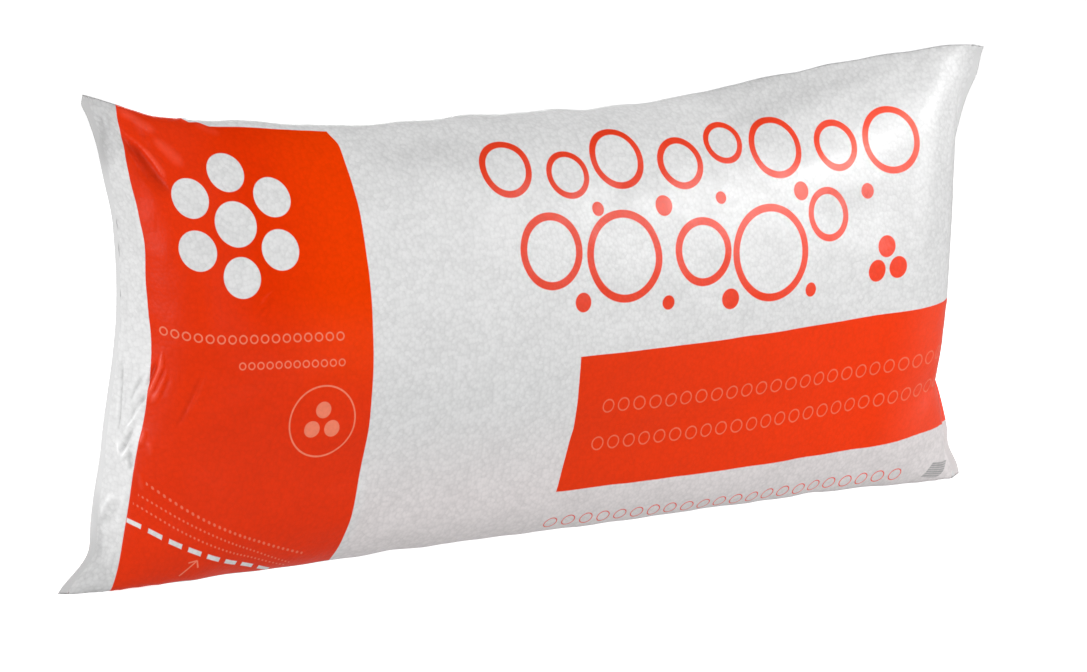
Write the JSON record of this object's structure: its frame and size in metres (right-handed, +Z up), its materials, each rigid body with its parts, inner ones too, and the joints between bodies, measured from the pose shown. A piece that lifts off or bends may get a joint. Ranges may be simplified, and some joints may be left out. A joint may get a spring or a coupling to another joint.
{
  "type": "bag of polystyrene beads",
  "caption": "Sealed film pillow bag filled with loose polystyrene beads, heat-sealed flat across both ends, standing on its long bottom edge.",
  "frame": {"origin": "centre of the bag's length and depth, on the plane that its flattened foot rests on", "axes": "+X along the bag from the left seal to the right seal as seen from the printed front, -Y out of the printed front, +Z up"},
  "size_m": [1.3336, 0.2268, 0.5919],
  "materials": {
    "film": "semi-gloss white polyethylene film over beads, printed in orange red"
  },
  "bodies": {
    "root": {"filled_bag": "film"}
  },
  "joints": []
}
